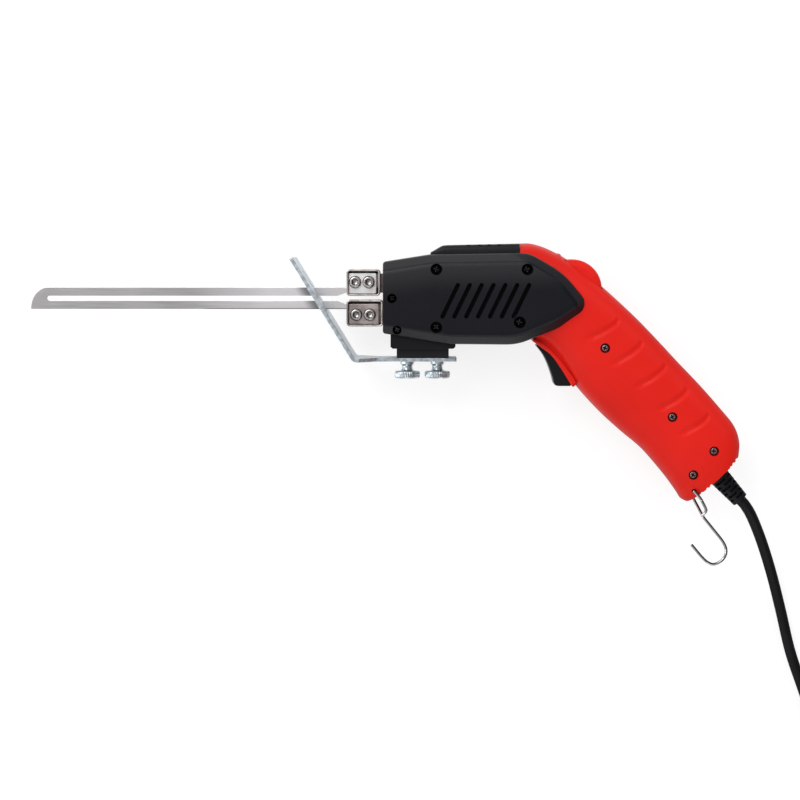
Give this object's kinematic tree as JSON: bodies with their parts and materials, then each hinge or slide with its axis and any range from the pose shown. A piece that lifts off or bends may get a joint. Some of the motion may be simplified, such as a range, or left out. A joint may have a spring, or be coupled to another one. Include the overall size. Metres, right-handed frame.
{
  "type": "electric hot knife",
  "caption": "Electric hot knife with a flat slotted blade, transformer housing, angled pistol handle, sliding blade guide, hanging hook and mains cord.",
  "frame": {"origin": "on the flat right side that the tool rests on, between the front body screws, on the blade's centre line", "axes": "+X from the blade tip towards the handle, +Y towards the top of the tool, +Z towards its left side, which faces up"},
  "size_m": [0.5505, 0.3426, 0.05],
  "materials": {
    "black_plastic": "fine textured",
    "red_plastic": "semi-gloss",
    "black_rubber": "matt",
    "tie_fabric": "woven",
    "nickel": "nickel plated",
    "blade_steel": "brushed",
    "zinc_steel": "bright zinc",
    "screw_steel": "plain",
    "copper": "bare",
    "core_steel": "laminated",
    "pale_plastic": "plain",
    "board": "solder mask",
    "blue_plastic": "plain",
    "brown_plastic": "plain",
    "pin_brass": "bright"
  },
  "bodies": {
    "housing": {"left_nose_shell": "black_plastic", "right_nose_shell": "black_plastic", "top_vent_cover": "black_plastic", "foot_block": "black_plastic", "left_handle_shell": "red_plastic", "right_handle_shell": "red_plastic", "terminal_insulator": "pale_plastic", "upper_busbar": "copper", "lower_busbar": "copper", "upper_terminal_tray": "nickel", "lower_terminal_tray": "nickel", "upper_clamp_plate": "nickel", "lower_clamp_plate": "nickel", "terminal_screws": "nickel", "blade": "blade_steel", "thumb_screw_nuts": "zinc_steel", "transformer_core": "core_steel", "winding_bobbin": "pale_plastic", "primary_winding": "copper", "secondary_strap": "copper", "potentiometer": "blue_plastic", "control_board": "board", "trigger_pin": "zinc_steel", "switch_body": "black_plastic", "cord_clamp": "black_plastic", "clamp_screws": "screw_steel", "strain_relief": "black_rubber", "body_screws": "screw_steel", "nose_screws": "screw_steel", "handle_screws": "screw_steel", "live_lead": "brown_plastic", "neutral_lead": "blue_plastic", "cord_lead": "black_rubber", "cord_coil": "black_rubber", "cord_tail": "black_rubber", "cord_tie": "tie_fabric", "plug_body": "black_rubber", "plug_pins": "pin_brass"},
    "guide": {"guide_plate": "zinc_steel"},
    "front_screw": {"front_thumb_screw": "zinc_steel"},
    "rear_screw": {"rear_thumb_screw": "zinc_steel"},
    "dial": {"temperature_dial": "red_plastic"},
    "trigger": {"trigger": "black_plastic"},
    "plunger": {"switch_plunger": "pale_plastic"},
    "hook": {"hook": "nickel"}
  },
  "joints": [
    {"name": "trigger_pull", "type": "hinge", "parent": "housing", "child": "trigger", "pos_m": [0.061, -0.0195, 0.025], "axis": [0, 0, 1], "range_deg": [0, 10], "stiffness_Nm_per_rad": 0.8, "springref_deg": -2.86},
    {"name": "plunger_press", "type": "slide", "parent": "housing", "child": "plunger", "axis": [0.908, 0.419, 0], "range_m": [0, 0.0052]},
    {"name": "dial_turn", "type": "hinge", "parent": "housing", "child": "dial", "pos_m": [0.0733, 0.0051, 0.025], "axis": [0, 0, 1], "range_deg": [-135, 135]},
    {"name": "guide_slide", "type": "slide", "parent": "housing", "child": "guide", "axis": [1, 0, 0], "range_m": [-0.005, 0.004]},
    {"name": "front_screw_turn", "type": "hinge", "parent": "housing", "child": "front_screw", "pos_m": [-0.0165, -0.04, 0.025], "axis": [0, 1, 0], "continuous": true},
    {"name": "rear_screw_turn", "type": "hinge", "parent": "housing", "child": "rear_screw", "pos_m": [0, -0.04, 0.025], "axis": [0, 1, 0], "continuous": true},
    {"name": "hook_swing", "type": "hinge", "parent": "housing", "child": "hook", "pos_m": [0.1395, -0.1043, 0.025], "axis": [0, 0, 1], "range_deg": [-20, 20]}
  ],
  "couplings": [
    {"joint": "plunger_press", "follows": "trigger_pull", "m_per_rad": 0.0286}
  ]
}
